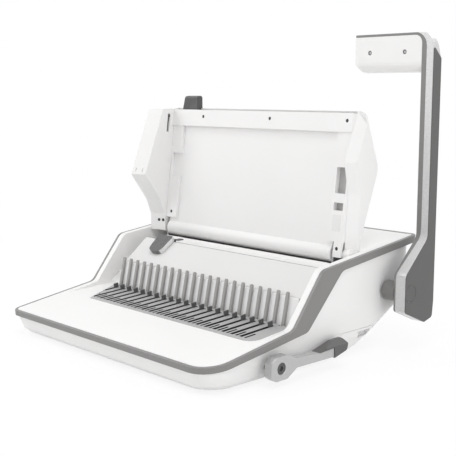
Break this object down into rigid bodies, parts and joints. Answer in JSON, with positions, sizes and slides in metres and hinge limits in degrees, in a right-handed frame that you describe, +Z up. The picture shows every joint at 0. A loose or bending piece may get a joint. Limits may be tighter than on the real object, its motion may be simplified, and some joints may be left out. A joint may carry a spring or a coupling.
{
  "type": "manual comb binding machine",
  "caption": "Desk machine that punches a row of slots in paper with a swing handle and opens a plastic comb on a row of fingers with a side lever; folding lid, edge guide, chip drawer.",
  "frame": {"origin": "under the middle of the machine's bounding box, on the table", "axes": "+X to the machine's right, the handle's side; +Y to the back; +Z up"},
  "size_m": [0.409, 0.3495, 0.375],
  "materials": {
    "white_plastic": "satin moulded",
    "trim_plastic": "satin moulded",
    "dark_plastic": "fine texture",
    "silver_plastic": "metallic paint",
    "grey_plastic": "satin moulded",
    "steel": "rolled and ground",
    "dark_steel": "blackened",
    "bronze": "sintered",
    "rubber": "matt"
  },
  "bodies": {
    "frame": {"lower_shell": "white_plastic", "trim_band": "trim_plastic", "upper_case": "white_plastic", "rear_cover": "white_plastic", "punch_cover": "white_plastic", "comb_back_panel": "white_plastic", "finger_bar": "grey_plastic", "comb_fingers": "grey_plastic", "hook_bed": "grey_plastic", "side_frames": "steel", "tie_rods": "steel", "die_front_plate": "steel", "die_rear_plate": "steel", "die_spacers": "steel", "paper_stop": "steel", "chip_chute": "steel", "throat_guide": "white_plastic", "shaft_bushes": "bronze", "bar_guides": "grey_plastic", "lever_bearings": "grey_plastic", "hook_rails": "steel", "drawer_runners": "grey_plastic", "hinge_pins": "steel", "rubber_feet": "rubber"},
    "handle": {"handle_inner_half": "trim_plastic", "handle_collar": "dark_plastic", "handle_rim": "silver_plastic", "handle_side_panel": "dark_plastic", "pivot_cap": "dark_plastic", "grip_front_half": "white_plastic", "grip_rear_half": "white_plastic", "grip_strip": "trim_plastic", "grip_screws": "steel", "drive_shaft": "steel", "drive_pinions": "steel"},
    "punch": {"punch_bar": "steel", "punch_pins": "steel", "punch_racks": "steel"},
    "comb_lever": {"lever_arm": "silver_plastic", "lever_grip": "dark_plastic", "lever_screw": "dark_steel", "lever_shaft": "steel", "lever_pinions": "steel"},
    "hooks": {"hook_carriage": "steel", "comb_hooks": "dark_steel", "hook_racks": "steel"},
    "lid": {"lid_shell": "white_plastic", "lid_liner": "white_plastic", "left_block": "white_plastic", "lid_screws": "dark_steel"},
    "press_tab": {"press_tab": "dark_plastic", "tab_link": "dark_plastic"},
    "edge_guide": {"edge_guide_knob": "dark_plastic", "edge_guide_shoe": "dark_plastic"},
    "chip_drawer": {"chip_drawer": "white_plastic"}
  },
  "joints": [
    {"name": "handle_swing", "type": "hinge", "parent": "frame", "child": "handle", "pos_m": [0, 0.113, 0.07312], "axis": [1, 0, 0], "range_deg": [0, 90]},
    {"name": "punch_slide", "type": "slide", "parent": "frame", "child": "punch", "axis": [0, -1, 0], "range_m": [0, 0.0126]},
    {"name": "lever_lift", "type": "hinge", "parent": "frame", "child": "comb_lever", "pos_m": [0, -0.084, 0.02], "axis": [1, 0, 0], "range_deg": [0, 105]},
    {"name": "hook_slide", "type": "slide", "parent": "frame", "child": "hooks", "axis": [0, -1, 0], "range_m": [0, 0.0165]},
    {"name": "lid_fold", "type": "hinge", "parent": "frame", "child": "lid", "pos_m": [0, 0.065, 0.11803], "axis": [1, 0, 0], "range_deg": [0, 90]},
    {"name": "tab_press", "type": "slide", "parent": "lid", "child": "press_tab", "axis": [0, -0.1219, -0.9925], "range_m": [0, 0.012], "stiffness_N_per_m": 150, "springref_m": -0.01},
    {"name": "guide_slide", "type": "slide", "parent": "frame", "child": "edge_guide", "axis": [1, 0, 0], "range_m": [-0.008, 0.06]},
    {"name": "drawer_slide", "type": "slide", "parent": "frame", "child": "chip_drawer", "axis": [1, 0, 0], "range_m": [0, 0.15]}
  ],
  "couplings": [
    {"joint": "punch_slide", "follows": "handle_swing", "m_per_rad": 0.008},
    {"joint": "hook_slide", "follows": "lever_lift", "m_per_rad": 0.009}
  ]
}
